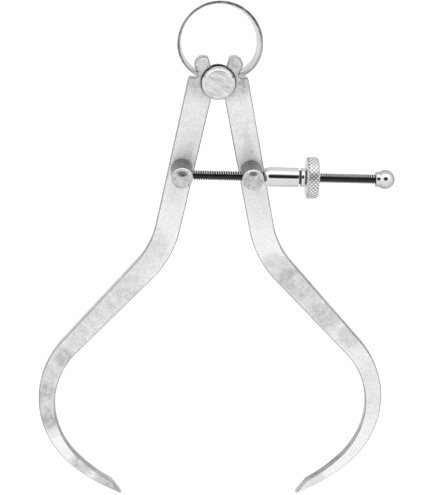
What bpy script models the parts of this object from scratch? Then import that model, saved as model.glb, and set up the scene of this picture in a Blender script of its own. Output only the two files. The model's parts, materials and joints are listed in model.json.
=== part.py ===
# Outside spring caliper, 6 inch, lying on its back with the legs' faces level.
# The origin is the centre of the fulcrum roller's back face. +Y runs towards the bow spring,
# the tips are at -Y, and +Z comes out of the front faces of the legs.

from math import acos, atan2, cos, pi, radians, sin, sqrt, tan

import bmesh
import bpy
from mathutils import Matrix, Vector

MM = 0.001

# Gaps between pieces
seat_gap = 0.2 * MM
roll_gap = 0.2 * MM
bore_gap = 0.2 * MM
notch_play = 0.65 * MM
fork_gap = 0.5 * MM

# Legs, measured in a leg's own frame, where the tip of a closed leg points down the centre line
leg_reach = 152.4 * MM
leg_thickness = 3.0 * MM
leg_edge_chamfer = 0.3 * MM
leg_rest_angle = radians(11.46)
spine_offset = 5.35 * MM
elbow_radius = 32.5 * MM
elbow_angle = radians(30.4)
bow_radii = (30.8 * MM, 32.0 * MM, 55.2 * MM)
bow_angles = (radians(31.4), radians(54.5), radians(19.5))
width_at_head = 8.55 * MM
width_at_elbow = 8.17 * MM
width_at_bow = 6.56 * MM
widths_in_bow = (5.82 * MM, 3.95 * MM, 2.65 * MM)
tip_side_offset = 0.45 * MM
tip_extension = 2.3 * MM
tip_bevel_angle = radians(43)
arc_step = radians(4)

# Head of a leg: a round lobe above the fulcrum, a notch for the spring, a shoulder below it
lobe_centre = (5.9 * MM, 4.5 * MM)
lobe_radius = 2.8 * MM
lobe_inner_lean = radians(26.9)
lobe_inner_distance = 2.07 * MM
lobe_side_angle = radians(-15)
notch_centre = (7.9 * MM, 0.9 * MM)
notch_wall_angle = radians(52)
notch_wall_length = 2.2 * MM
notch_floor_angle = radians(-5)
shoulder_radius = 0.8 * MM

# Fulcrum roller: a barrel between two flanges
barrel_radius = 3.5 * MM
back_flange_radius = 5.0 * MM
back_flange_thickness = 1.2 * MM
front_flange_radius = 5.4 * MM
front_flange_rim = 1.4 * MM
front_chamfer_width = 0.8 * MM
front_chamfer_height = 1.1 * MM
flange_edge_chamfer = 0.25 * MM

# Bow spring: a flat strip bent to a C, its ends in the notches of the heads
strip_width = 9.0 * MM
strip_thickness = 0.85 * MM
strip_edge_chamfer = 0.15 * MM
spring_radius = 12.88 * MM
spring_rise = 9.75 * MM
spring_half_angle = radians(94)
spring_flare = radians(4.3)
spring_lean = radians(9.5)
spring_turn = radians(-1.2)
fork_depth = 0.55 * MM
fork_slot_play = 0.4 * MM

# Swivel posts
post_radius = 3.5 * MM
post_height = 10.5 * MM
post_edge_chamfer = 0.4 * MM
left_post_distance = 30.7 * MM
right_post_distance = 31.05 * MM
post_stem_radius = 2.0 * MM
post_head_radius = 2.7 * MM
post_head_thickness = 0.8 * MM
washer_radius = 3.4 * MM
washer_thickness = 0.6 * MM

# Adjusting screw, its ball end, and the nut
screw_radius = 1.5 * MM
screw_height = 6.4 * MM
screw_end_in_post = 2.0 * MM
screw_length = 67.15 * MM
screw_end_chamfer = 0.4 * MM
ball_radius = 3.1 * MM
ball_centre_from_rod_end = 0.7 * MM
ball_collar_radius = 2.45 * MM
ball_collar_length = 3.2 * MM
sleeve_radius = 3.12 * MM
sleeve_length = 11.2 * MM
sleeve_nose_radius = 2.45 * MM
sleeve_nose_length = 1.9 * MM
sleeve_end_chamfer = 0.25 * MM
hub_radius = 3.05 * MM
hub_length = 2.2 * MM
hub_neck_radius = 2.55 * MM
hub_neck_length = 0.5 * MM
wheel_radius = 6.75 * MM
wheel_width = 3.85 * MM
wheel_chamfer = 0.6 * MM
wheel_dish_radius = 4.5 * MM
wheel_dish_depth = 0.35 * MM
knurl_depth = 0.32 * MM
knurl_count = 36
knurl_rows = 2

# Heights and places that follow from the sizes above
leg_back = back_flange_thickness + seat_gap
leg_front = leg_back + leg_thickness
leg_middle = leg_back + leg_thickness / 2
front_flange_back = leg_front + seat_gap
post_base = leg_front + seat_gap
post_top = leg_front + post_height
screw_z = leg_front + screw_height
notch_radius = strip_thickness / 2 + notch_play
notch_place = Matrix.Rotation(leg_rest_angle, 3, "Z") @ Vector((*notch_centre, 0))
seat_radius = barrel_radius + roll_gap


# Centre of a post on its leg, where side is 1 for the right leg and -1 for the left one
def post_place(side):
    distance = right_post_distance if side == 1 else left_post_distance
    return Matrix.Rotation(side * leg_rest_angle, 3, "Z") @ Vector((side * spine_offset, -distance, 0))


# The screw runs from the left post through the right one, which sits a little further from the fulcrum
def screw_direction():
    return (post_place(1) - post_place(-1)).normalized()


# Point on the screw's axis at a distance from the left post's centre
def on_screw(distance):
    return post_place(-1) + screw_direction() * distance + Vector((0, 0, screw_z))


def lay_on_screw(piece, distance):
    direction = screw_direction()
    piece.rotation_euler.z = atan2(direction.y, direction.x)
    piece.location = on_screw(distance)


def clear_scene():
    for old in list(bpy.data.objects):
        bpy.data.objects.remove(old, do_unlink=True)


def make_material(name, colour, roughness, metallic):
    material = bpy.data.materials.new(name)
    material.use_nodes = True
    shader = material.node_tree.nodes["Principled BSDF"]
    shader.inputs["Base Color"].default_value = (*colour, 1.0)
    shader.inputs["Roughness"].default_value = roughness
    shader.inputs["Metallic"].default_value = metallic
    return material


def make_object(name, mesh, material, sharp_angle=radians(30)):
    mesh.materials.append(material)
    mesh.shade_smooth()
    mesh.set_sharp_from_angle(angle=sharp_angle)
    piece = bpy.data.objects.new(name, mesh)
    bpy.context.collection.objects.link(piece)
    return piece


def finish_mesh(name, bm):
    bmesh.ops.remove_doubles(bm, verts=bm.verts, dist=1e-7)
    bmesh.ops.recalc_face_normals(bm, faces=bm.faces)
    mesh = bpy.data.meshes.new(name)
    bm.to_mesh(mesh)
    bm.free()
    return mesh


# A closed outline in X and Y, given as points, becomes a plate from low to high with its edges chamfered
def plate_mesh(name, outline, low, high, chamfer):
    bm = bmesh.new()
    base = bm.faces.new([bm.verts.new((x, y, low)) for x, y in outline])
    raised = bmesh.ops.extrude_face_region(bm, geom=[base])
    top_verts = [item for item in raised["geom"] if isinstance(item, bmesh.types.BMVert)]
    bmesh.ops.translate(bm, verts=top_verts, vec=(0, 0, high - low))
    bmesh.ops.recalc_face_normals(bm, faces=bm.faces)
    flat_edges = [edge for edge in bm.edges if edge.verts[0].co.z == edge.verts[1].co.z]
    bmesh.ops.bevel(bm, geom=flat_edges, offset=chamfer, segments=1, profile=0.5, affect="EDGES", clamp_overlap=True)
    return finish_mesh(name, bm)


# A profile of (radius, height) points is turned about Z; a closed profile gives a ring
def turned_mesh(name, profile, steps=48, closed=False):
    bm = bmesh.new()
    points = [bm.verts.new((radius, 0, height)) for radius, height in profile]
    pairs = list(zip(points, points[1:]))
    if closed:
        pairs.append((points[-1], points[0]))
    edges = [bm.edges.new(pair) for pair in pairs]
    bmesh.ops.spin(
        bm, geom=points + edges, angle=2 * pi, steps=steps, axis=(0, 0, 1), cent=(0, 0, 0), use_merge=True
    )
    bmesh.ops.remove_doubles(bm, verts=bm.verts, dist=1e-6)
    return finish_mesh(name, bm)


def lay_along_x(mesh):
    mesh.transform(Matrix.Rotation(pi / 2, 4, "Y"))
    return mesh


# A cutter is a plain cylinder along Z or X that a Boolean modifier takes out of its owner
def add_bore(owner, name, radius, start, end, steps=32):
    axis = end - start
    bm = bmesh.new()
    bmesh.ops.create_cone(
        bm, cap_ends=True, segments=steps, radius1=radius, radius2=radius, depth=axis.length
    )
    mesh = bpy.data.meshes.new(name)
    bm.to_mesh(mesh)
    bm.free()
    mesh.transform(axis.to_track_quat("Z", "Y").to_matrix().to_4x4())
    mesh.transform(Matrix.Translation((start + end) / 2))
    add_cut(owner, name, mesh)


def add_cut(owner, name, mesh):
    cutter = bpy.data.objects.new(name, mesh)
    bpy.context.collection.objects.link(cutter)
    cutter.parent = owner
    cutter.hide_render = True
    cutter.display_type = "WIRE"
    cut = owner.modifiers.new(name, "BOOLEAN")
    cut.operation = "DIFFERENCE"
    cut.solver = "EXACT"
    cut.object = cutter


# Steps along a leg's spine: each is a straight run or an arc, with the leg's width at its end
def spine_steps(shank_length, middle_length):
    steps = [
        ("line", shank_length, 0.0, width_at_elbow),
        ("arc", elbow_radius, elbow_angle, width_at_elbow),
        ("line", middle_length, 0.0, width_at_bow),
    ]
    for radius, angle, width in zip(bow_radii, bow_angles, widths_in_bow):
        steps.append(("arc", radius, -angle, width))
    return steps


# Points of the spine as (x, y, heading, width); heading 0 runs down -Y and grows towards +X
def spine_points(shank_length, middle_length):
    x, y, heading, width = spine_offset, 0.0, 0.0, width_at_head
    points = [(x, y, heading, width)]
    for kind, size, turn, end_width in spine_steps(shank_length, middle_length):
        count = 1 if kind == "line" else max(2, round(abs(turn) / arc_step))
        chord = size if kind == "line" else 2 * size * sin(abs(turn) / (2 * count))
        for i in range(count):
            middle_heading = heading + turn / (2 * count)
            x += chord * sin(middle_heading)
            y -= chord * cos(middle_heading)
            heading += turn / count
            points.append((x, y, heading, width + (end_width - width) * (i + 1) / count))
        width = end_width
    return points


# The point of the tip, which prolongs the outer edge in a straight line
def tip_of(end):
    x, y, heading, width = end
    tip_x = x + cos(heading) * width / 2 + sin(heading) * tip_extension
    tip_y = y + sin(heading) * width / 2 - cos(heading) * tip_extension
    return tip_x, tip_y


# The two straight runs are as long as it takes to bring the tip to the centre line at full reach
def leg_spine():
    tip_x, tip_y = tip_of(spine_points(0.0, 0.0)[-1])
    middle_length = (tip_side_offset - tip_x) / sin(elbow_angle)
    shank_length = leg_reach + tip_y - middle_length * cos(elbow_angle)
    return spine_points(shank_length, middle_length)


def arc_points(centre, radius, start, end, count):
    angles = [start + (end - start) * i / count for i in range(count + 1)]
    return [(centre[0] + radius * cos(a), centre[1] + radius * sin(a)) for a in angles]


# Head of the right leg from the seat's upper corner, over the lobe and round the notch, to the outer edge
def head_outline():
    edge_direction = Vector((sin(lobe_inner_lean), cos(lobe_inner_lean)))
    edge_normal = Vector((-edge_direction.y, edge_direction.x))
    centre = Vector(lobe_centre)
    foot = centre + edge_normal * lobe_inner_distance
    half_chord = sqrt(lobe_radius**2 - lobe_inner_distance**2)
    lobe_start = foot + edge_direction * half_chord
    start_angle = atan2(lobe_start.y - centre.y, lobe_start.x - centre.x)
    along = foot.dot(edge_direction)
    seat_corner = foot - edge_direction * (along - sqrt(seat_radius**2 - foot.length_squared + along**2))
    lobe = arc_points(lobe_centre, lobe_radius, start_angle, lobe_side_angle, 14)
    wall_normal = notch_wall_angle + pi / 2
    wall_foot = (
        notch_centre[0] + notch_radius * cos(wall_normal),
        notch_centre[1] + notch_radius * sin(wall_normal),
    )
    beak = (
        wall_foot[0] + notch_wall_length * cos(notch_wall_angle),
        wall_foot[1] + notch_wall_length * sin(notch_wall_angle),
    )
    root = arc_points(notch_centre, notch_radius, wall_normal, notch_floor_angle + 3 * pi / 2, 8)
    outer_x = spine_offset + width_at_head / 2
    corner_x = outer_x - shoulder_radius
    floor_y = root[-1][1] + (corner_x - root[-1][0]) * tan(notch_floor_angle)
    corner = arc_points((corner_x, floor_y - shoulder_radius), shoulder_radius, pi / 2, 0.0, 4)
    return [tuple(seat_corner)] + lobe + [beak] + root + corner


def leg_outline():
    spine = leg_spine()
    outer = [(x + cos(h) * w / 2, y + sin(h) * w / 2) for x, y, h, w in spine[1:]]
    inner = [(x - cos(h) * w / 2, y - sin(h) * w / 2) for x, y, h, w in spine]
    tip = Vector(tip_of(spine[-1]))
    bevel = Vector((cos(tip_bevel_angle), sin(tip_bevel_angle)))
    side = [bevel.x * (y - tip.y) - bevel.y * (x - tip.x) for x, y in inner]
    last = max(i for i, value in enumerate(side) if value < 0)
    share = side[last] / (side[last] - side[last + 1])
    corner = tuple(Vector(inner[last]).lerp(Vector(inner[last + 1]), share))
    seat_low_angle = -acos(inner[0][0] / seat_radius)
    head = head_outline()
    seat_high_angle = atan2(head[0][1], head[0][0])
    seat = arc_points((0.0, 0.0), seat_radius, seat_low_angle, seat_high_angle, 16)
    kept_inner = inner[1 : last + 1]
    return seat[:-1] + head + outer + [tuple(tip), corner] + kept_inner[::-1]


def add_legs(steel):
    mesh = plate_mesh("right_leg", leg_outline(), leg_back, leg_front, leg_edge_chamfer)
    mirrored = mesh.copy()
    mirrored.transform(Matrix.Scale(-1, 4, (1, 0, 0)))
    mirrored.flip_normals()
    for name, leg_mesh, side in (("right_leg", mesh, 1), ("left_leg", mirrored, -1)):
        leg = make_object(name, leg_mesh, steel)
        leg.rotation_euler.z = side * leg_rest_angle
        distance = right_post_distance if side == 1 else left_post_distance
        start = Vector((side * spine_offset, -distance, leg_back - seat_gap))
        end = Vector((side * spine_offset, -distance, leg_front + seat_gap))
        add_bore(leg, name + "_stem_hole", post_stem_radius + roll_gap, start, end)


def add_roller(steel):
    front_rim_top = front_flange_back + front_flange_rim
    front_face = front_rim_top + front_chamfer_height
    profile = [
        (0.0, 0.0),
        (back_flange_radius - flange_edge_chamfer, 0.0),
        (back_flange_radius, flange_edge_chamfer),
        (back_flange_radius, back_flange_thickness),
        (barrel_radius, back_flange_thickness),
        (barrel_radius, front_flange_back),
        (front_flange_radius, front_flange_back),
        (front_flange_radius, front_rim_top),
        (front_flange_radius - front_chamfer_width, front_face),
        (0.0, front_face),
    ]
    make_object("fulcrum_roller", turned_mesh("fulcrum_roller", profile), steel)


# Centre line of one half of the spring in its own plane, where y = 0 runs through the two notches.
# After the round bow, the end turns in on an arc that leads it into the notch.
def spring_half_line():
    count = 26
    line = []
    for i in range(count + 1):
        angle = spring_half_angle * i / count
        line.append((spring_radius * sin(angle), spring_rise + spring_radius * cos(angle), angle))
    x, y, angle = line[-1]
    fork_reach = notch_radius - fork_gap + fork_depth
    to_end = Vector((notch_place.x - fork_reach - x, -y))
    turn = 2 * (atan2(-to_end.y, to_end.x) - angle)
    curl_radius = to_end.length / (2 * sin(turn / 2))
    curl_count = 8
    step = turn / curl_count
    chord = 2 * curl_radius * sin(step / 2)
    for i in range(curl_count):
        x += chord * cos(angle + step / 2)
        y -= chord * sin(angle + step / 2)
        angle += step
        line.append((x, y, angle))
    return line


def spring_line():
    half = spring_half_line()
    return [(-x, y, -angle) for x, y, angle in half[:0:-1]] + half


# Matrix that leans the spring back about the line through the two notches, and turns it on the roller
def spring_frame():
    pivot = Matrix.Translation((0, notch_place.y, leg_middle))
    return Matrix.Rotation(spring_turn, 4, "Z") @ pivot @ Matrix.Rotation(-spring_lean, 4, "X")


def add_spring(spring_steel):
    half_width = strip_width / 2
    half_thickness = strip_thickness / 2
    cut = strip_edge_chamfer
    section = [
        (half_thickness, half_width - cut),
        (half_thickness - cut, half_width),
        (cut - half_thickness, half_width),
        (-half_thickness, half_width - cut),
        (-half_thickness, cut - half_width),
        (cut - half_thickness, -half_width),
        (half_thickness - cut, -half_width),
        (half_thickness, cut - half_width),
    ]
    bm = bmesh.new()
    rings = []
    for x, y, angle in spring_line():
        outward = Vector((sin(angle), cos(angle), 0))
        ring = []
        for across, along in section:
            place = Vector((x, y, along)) + outward * (across + along * tan(spring_flare))
            ring.append(bm.verts.new(place))
        rings.append(ring)
    for first, second in zip(rings, rings[1:]):
        for i in range(len(section)):
            j = (i + 1) % len(section)
            bm.faces.new((first[i], first[j], second[j], second[i]))
    bm.faces.new(rings[0])
    bm.faces.new(rings[-1][::-1])
    mesh = finish_mesh("bow_spring", bm)
    spring = make_object("bow_spring", mesh, spring_steel)
    spring.matrix_world = spring_frame()
    end_x, end_y, end_angle = spring_half_line()[-1]
    for side, name in ((1, "right_fork_slot"), (-1, "left_fork_slot")):
        box = bmesh.new()
        bmesh.ops.create_cube(box, size=1.0)
        slot_width = leg_thickness + 2 * fork_slot_play
        bmesh.ops.scale(box, verts=box.verts, vec=(2 * fork_depth, 3 * strip_thickness, slot_width))
        slot = bpy.data.meshes.new(name)
        box.to_mesh(slot)
        box.free()
        slot.transform(Matrix.Rotation(-side * end_angle, 4, "Z"))
        slot.transform(Matrix.Translation((side * end_x, end_y, 0)))
        add_cut(spring, name, slot)


def add_posts(steel):
    head_top = leg_back - 2 * seat_gap - washer_thickness
    head_low = head_top - post_head_thickness
    profile = [
        (0.0, head_low),
        (post_head_radius - flange_edge_chamfer, head_low),
        (post_head_radius, head_low + flange_edge_chamfer),
        (post_head_radius, head_top),
        (post_stem_radius, head_top),
        (post_stem_radius, post_base),
        (post_radius, post_base),
        (post_radius, post_top - post_edge_chamfer),
        (post_radius - post_edge_chamfer, post_top),
        (0.0, post_top),
    ]
    ring_inner = post_stem_radius + roll_gap
    ring_top = leg_back - seat_gap
    ring = [
        (ring_inner, ring_top - washer_thickness),
        (washer_radius, ring_top - washer_thickness),
        (washer_radius, ring_top),
        (ring_inner, ring_top),
    ]
    for side, name in ((1, "right_post"), (-1, "left_post")):
        post = make_object(name, turned_mesh(name, profile), steel)
        post.location = post_place(side)
        washer = make_object(name + "_washer", turned_mesh(name + "_washer", ring, closed=True), steel)
        washer.location = post.location
        reach = 2 * post_radius
        blind_end = -reach if side == 1 else -(screw_end_in_post + bore_gap)
        lift = Vector((0, 0, screw_z))
        start = screw_direction() * blind_end + lift
        end = screw_direction() * reach + lift
        add_bore(post, name + "_screw_hole", screw_radius + bore_gap, start, end)


def add_screw(black_steel):
    profile = [
        (0.0, 0.0),
        (screw_radius - screw_end_chamfer, 0.0),
        (screw_radius, screw_end_chamfer),
        (screw_radius, screw_length - screw_end_chamfer),
        (screw_radius - screw_end_chamfer, screw_length),
        (0.0, screw_length),
    ]
    screw = make_object("adjusting_screw", lay_along_x(turned_mesh("adjusting_screw", profile, 32)), black_steel)
    lay_on_screw(screw, -screw_end_in_post)


def add_ball(chrome):
    hole_radius = screw_radius + bore_gap
    collar_start = -ball_collar_length
    collar_angle = pi - acos(sqrt(ball_radius**2 - ball_collar_radius**2) / ball_radius)
    count = 20
    sphere = [
        (ball_radius * sin(collar_angle * i / count), -ball_radius * cos(pi - collar_angle * i / count))
        for i in range(count + 1)
    ]
    rod_end = ball_centre_from_rod_end
    profile = [(r, z) for r, z in sphere]
    profile += [
        (ball_collar_radius, collar_start + flange_edge_chamfer),
        (ball_collar_radius - flange_edge_chamfer, collar_start),
        (hole_radius, collar_start),
        (hole_radius, bore_gap - rod_end),
        (0.0, bore_gap - rod_end),
    ]
    ball = make_object("ball_end", lay_along_x(turned_mesh("ball_end", profile)), chrome)
    lay_on_screw(ball, screw_length - screw_end_in_post + rod_end)


def add_sleeve(chrome):
    hole_radius = screw_radius + bore_gap
    profile = [
        (hole_radius, 0.0),
        (sleeve_nose_radius - sleeve_end_chamfer, 0.0),
        (sleeve_nose_radius, sleeve_end_chamfer),
        (sleeve_nose_radius + 0.7 * (sleeve_radius - sleeve_nose_radius), 0.45 * sleeve_nose_length),
        (sleeve_radius, sleeve_nose_length),
        (sleeve_radius, sleeve_length - sleeve_end_chamfer),
        (sleeve_radius - sleeve_end_chamfer, sleeve_length),
        (hole_radius, sleeve_length),
    ]
    mesh = lay_along_x(turned_mesh("nut_sleeve", profile, closed=True))
    sleeve = make_object("nut_sleeve", mesh, chrome)
    post_to_post = (post_place(1) - post_place(-1)).length
    sleeve_start = post_to_post + post_radius + seat_gap
    lay_on_screw(sleeve, sleeve_start)
    return sleeve_start + sleeve_length


# The rim is a grid in which every second point is sunk, so each sunk diamond's edges form a groove
def add_wheel(steel, sleeve_end):
    hole_radius = screw_radius + bore_gap
    around = 2 * knurl_count
    rows = 2 * knurl_rows
    face_left = hub_length
    face_right = hub_length + wheel_width
    shoulder_radius_outer = wheel_radius - wheel_chamfer
    band_left = face_left + wheel_chamfer
    band_right = face_right - wheel_chamfer
    before = [
        (hole_radius, 0.0),
        (hub_neck_radius, 0.0),
        (hub_neck_radius, hub_neck_length),
        (hub_radius - sleeve_end_chamfer, hub_neck_length),
        (hub_radius, hub_neck_length + sleeve_end_chamfer),
        (hub_radius, face_left),
        (shoulder_radius_outer, face_left),
    ]
    after = [
        (shoulder_radius_outer, face_right),
        (wheel_dish_radius, face_right),
        (wheel_dish_radius - wheel_dish_depth, face_right - wheel_dish_depth),
        (hole_radius, face_right - wheel_dish_depth),
    ]
    bm = bmesh.new()

    def ring_at(radius_of, height):
        return [
            bm.verts.new(
                (
                    height,
                    radius_of(i) * cos(2 * pi * i / around),
                    radius_of(i) * sin(2 * pi * i / around),
                )
            )
            for i in range(around)
        ]

    rings = [ring_at(lambda i, r=radius: r, height) for radius, height in before]
    for row in range(rows + 1):
        height = band_left + (band_right - band_left) * row / rows
        rings.append(
            ring_at(lambda i, k=row: wheel_radius - knurl_depth * ((i + k) % 2 == 0), height)
        )
    rings += [ring_at(lambda i, r=radius: r, height) for radius, height in after]
    first_band = len(before)
    for number, first in enumerate(rings):
        second = rings[(number + 1) % len(rings)]
        for i in range(around):
            j = (i + 1) % around
            corners = (first[i], first[j], second[j], second[i])
            row = number - first_band
            if 0 <= row < rows:
                sunk_first = (i + row) % 2 == 0
                cut = 0 if sunk_first else 1
                turned = corners[cut:] + corners[:cut]
                bm.faces.new((turned[0], turned[1], turned[2]))
                bm.faces.new((turned[0], turned[2], turned[3]))
            else:
                bm.faces.new(corners)
    mesh = finish_mesh("nut_wheel", bm)
    wheel = make_object("nut_wheel", mesh, steel, radians(20))
    lay_on_screw(wheel, sleeve_end + seat_gap)


clear_scene()
satin_steel = make_material("satin_steel", (0.72, 0.72, 0.72), 0.35, 1.0)
turned_steel = make_material("turned_steel", (0.62, 0.62, 0.63), 0.3, 1.0)
polished_steel = make_material("polished_steel", (0.8, 0.8, 0.82), 0.08, 1.0)
knurled_steel = make_material("knurled_steel", (0.75, 0.75, 0.75), 0.25, 1.0)
black_steel = make_material("black_steel", (0.02, 0.02, 0.02), 0.45, 0.6)
add_legs(satin_steel)
add_roller(turned_steel)
add_spring(satin_steel)
add_posts(turned_steel)
add_screw(black_steel)
add_ball(polished_steel)
add_wheel(knurled_steel, add_sleeve(polished_steel))
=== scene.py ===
import json
from math import asin, atan2, cos, hypot, pi, radians, sin, tan

import bpy
from mathutils import Matrix, Vector


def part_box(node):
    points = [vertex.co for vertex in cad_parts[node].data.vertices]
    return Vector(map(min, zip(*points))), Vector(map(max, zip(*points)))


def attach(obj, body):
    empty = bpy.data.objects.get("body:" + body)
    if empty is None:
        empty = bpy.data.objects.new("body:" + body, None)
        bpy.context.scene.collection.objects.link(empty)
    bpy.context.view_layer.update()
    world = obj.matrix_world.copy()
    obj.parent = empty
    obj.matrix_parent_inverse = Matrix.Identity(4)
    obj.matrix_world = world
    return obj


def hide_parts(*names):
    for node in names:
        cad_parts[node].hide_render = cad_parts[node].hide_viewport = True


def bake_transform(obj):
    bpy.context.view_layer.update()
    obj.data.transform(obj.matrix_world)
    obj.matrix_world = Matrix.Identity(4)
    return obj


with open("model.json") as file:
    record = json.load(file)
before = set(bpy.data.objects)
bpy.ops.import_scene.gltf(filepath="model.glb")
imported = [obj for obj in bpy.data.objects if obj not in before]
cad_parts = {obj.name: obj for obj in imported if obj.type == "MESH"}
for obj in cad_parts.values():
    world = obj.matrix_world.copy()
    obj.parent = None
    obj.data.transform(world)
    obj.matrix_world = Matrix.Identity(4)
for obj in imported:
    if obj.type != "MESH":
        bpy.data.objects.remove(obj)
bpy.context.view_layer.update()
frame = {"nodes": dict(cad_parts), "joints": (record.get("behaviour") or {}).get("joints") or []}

mm = 0.001

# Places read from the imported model. The screw's own frame has its origin on the left post's
# centre line and X along the screw, towards the ball.
joints = {joint["name"]: joint for joint in frame["joints"]}
leftPostPlace = Vector(joints["left_post_swivel"]["pos_m"])
rightPostPlace = Vector(joints["right_post_swivel"]["pos_m"])
nutPlace = Vector(joints["nut_turn"]["pos_m"])
screwDirection = -Vector(joints["nut_turn"]["axis"]).normalized()
screwStart = nutPlace + screwDirection * (leftPostPlace - nutPlace).dot(screwDirection)
screwTurn = Matrix.Rotation(atan2(screwDirection.y, screwDirection.x), 4, "Z")
screwMatrix = Matrix.Translation(screwStart) @ screwTurn
legLow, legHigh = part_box("right_leg")
legBack = legLow.z
legFront = legHigh.z
legMiddle = (legBack + legFront) / 2
rollerLow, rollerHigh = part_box("fulcrum_roller")
springLow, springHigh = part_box("bow_spring")
runningGap = 0.2 * mm
mergeDistance = 0.002 * mm   # points closer than this become one


# A node's lowest and highest place along the screw, and its reach from the screw's line
def spanOnScrew(nodeName):
    toScrew = screwMatrix.inverted()
    places = [toScrew @ vertex.co for vertex in frame["nodes"][nodeName].data.vertices]
    along = [place.x for place in places]
    return min(along), max(along), max(hypot(place.y, place.z) for place in places)


def deselectAll():
    bpy.ops.object.select_all(action="DESELECT")


def makeActive(piece):
    deselectAll()
    piece.select_set(True)
    bpy.context.view_layer.objects.active = piece


def editMode():
    bpy.ops.object.mode_set(mode="EDIT")


def objectMode():
    bpy.ops.object.mode_set(mode="OBJECT")


# Draws a line by extruding one vertex from point to point; leaves it in edit mode, all selected
def drawLine(name, points, closed=False):
    deselectAll()
    points = [Vector(point) for point in points]
    bpy.ops.mesh.primitive_plane_add(size=mm, location=points[0])
    piece = bpy.context.object
    piece.name = name
    piece.data.name = name
    editMode()
    bpy.ops.mesh.select_mode(type="VERT")
    bpy.ops.mesh.select_all(action="SELECT")
    bpy.ops.mesh.merge(type="CENTER")
    for here, there in zip(points, points[1:]):
        bpy.ops.mesh.extrude_vertices_move(TRANSFORM_OT_translate={"value": there - here})
    bpy.ops.mesh.select_all(action="SELECT")
    if closed:
        bpy.ops.mesh.edge_face_add()
    return piece


def applyPlace(piece):
    makeActive(piece)
    bpy.ops.object.transform_apply(location=True, rotation=True, scale=True)


# Merges what lies together, turns the faces outwards and leaves edit mode
def closeMesh(piece):
    bpy.ops.mesh.select_all(action="SELECT")
    bpy.ops.mesh.remove_doubles(threshold=mergeDistance)
    bpy.ops.mesh.normals_make_consistent(inside=False)
    objectMode()
    applyPlace(piece)


# Turns a profile of (height, radius) points about X or Z through a centre
def turnProfile(name, profile, centre=(0, 0, 0), axis="Z", steps=96, closed=False):
    centre = Vector(centre)
    along = {"X": Vector((1, 0, 0)), "Z": Vector((0, 0, 1))}[axis]
    out = {"X": Vector((0, 0, 1)), "Z": Vector((1, 0, 0))}[axis]
    points = [centre + along * height + out * radius for height, radius in profile]
    if closed:
        points.append(points[0])
    piece = drawLine(name, points)
    bpy.ops.mesh.spin(steps=steps, angle=2 * pi, center=centre, axis=along)
    closeMesh(piece)
    return piece


# Selects the vertices, edges or faces that pass a test, and goes to edit mode
def selectWhere(piece, kind, test):
    objectMode()
    makeActive(piece)
    editMode()
    bpy.ops.mesh.select_mode(type=kind)
    bpy.ops.mesh.select_all(action="DESELECT")
    objectMode()
    parts = {"VERT": piece.data.vertices, "EDGE": piece.data.edges, "FACE": piece.data.polygons}
    for part in parts[kind]:
        part.select = test(part)
    editMode()


def roundEdges(piece, width):
    makeActive(piece)
    bevel = piece.modifiers.new("Bevel", "BEVEL")
    bevel.width = width
    bevel.segments = 2
    bevel.limit_method = "ANGLE"
    bevel.angle_limit = radians(30)
    bpy.ops.object.modifier_apply(modifier=bevel.name)


def shadeSmooth(piece, angle=30):
    makeActive(piece)
    bpy.ops.object.shade_smooth_by_angle(angle=radians(angle))


def combine(piece, tool, operation="DIFFERENCE"):
    makeActive(piece)
    cut = piece.modifiers.new("Cut", "BOOLEAN")
    cut.operation = operation
    cut.solver = "EXACT"
    cut.object = tool
    bpy.ops.object.modifier_apply(modifier=cut.name)
    bpy.data.objects.remove(tool, do_unlink=True)


# A cylinder between two points, for cutting holes
def addRod(start, end, radius, steps=64):
    deselectAll()
    line = Vector(end) - Vector(start)
    middle = (Vector(start) + Vector(end)) / 2
    turn = line.to_track_quat("Z", "Y").to_euler()
    bpy.ops.mesh.primitive_cylinder_add(
        vertices=steps, radius=radius, depth=line.length, location=middle, rotation=turn
    )
    applyPlace(bpy.context.object)
    return bpy.context.object


def placeOnScrew(piece):
    piece.matrix_world = screwMatrix
    applyPlace(piece)


# Gives a piece its materials, smooth shading and the body it moves with, and hides the imported node it
# stands for
def finishPiece(piece, body, materials, node, smoothAngle=30):
    piece.data.materials.clear()
    for material in materials:
        piece.data.materials.append(material)
    shadeSmooth(piece, smoothAngle)
    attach(piece, body)
    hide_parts(node)


def newMaterial(name):
    material = bpy.data.materials.new(name)
    material.use_nodes = True
    return material, material.node_tree.nodes, material.node_tree.links


def addMapping(nodes, links, coords, scale=(1, 1, 1), turn=(0, 0, 0), centre=(0, 0, 0), kind="POINT"):
    mapping = nodes.new("ShaderNodeMapping")
    mapping.vector_type = kind
    mapping.inputs["Location"].default_value = centre
    mapping.inputs["Rotation"].default_value = turn
    mapping.inputs["Scale"].default_value = scale
    links.new(coords.outputs["Object"], mapping.inputs["Vector"])
    return mapping.outputs["Vector"]


def addNoise(nodes, links, vector, scale, detail, roughness):
    noise = nodes.new("ShaderNodeTexNoise")
    noise.inputs["Scale"].default_value = scale
    noise.inputs["Detail"].default_value = detail
    noise.inputs["Roughness"].default_value = roughness
    links.new(vector, noise.inputs["Vector"])
    return noise.outputs["Fac"]


def addRange(nodes, links, value, fromLow, fromHigh, toLow, toHigh, smooth=False):
    ranged = nodes.new("ShaderNodeMapRange")
    if smooth:
        ranged.interpolation_type = "SMOOTHSTEP"
    ranged.inputs["From Min"].default_value = fromLow
    ranged.inputs["From Max"].default_value = fromHigh
    ranged.inputs["To Min"].default_value = toLow
    ranged.inputs["To Max"].default_value = toHigh
    links.new(value, ranged.inputs["Value"])
    return ranged.outputs["Result"]


def addMath(nodes, links, operation, first, second):
    node = nodes.new("ShaderNodeMath")
    node.operation = operation
    for socket, value in zip(node.inputs, (first, second)):
        if isinstance(value, (int, float)):
            socket.default_value = value
        else:
            links.new(value, socket)
    return node.outputs["Value"]


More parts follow.
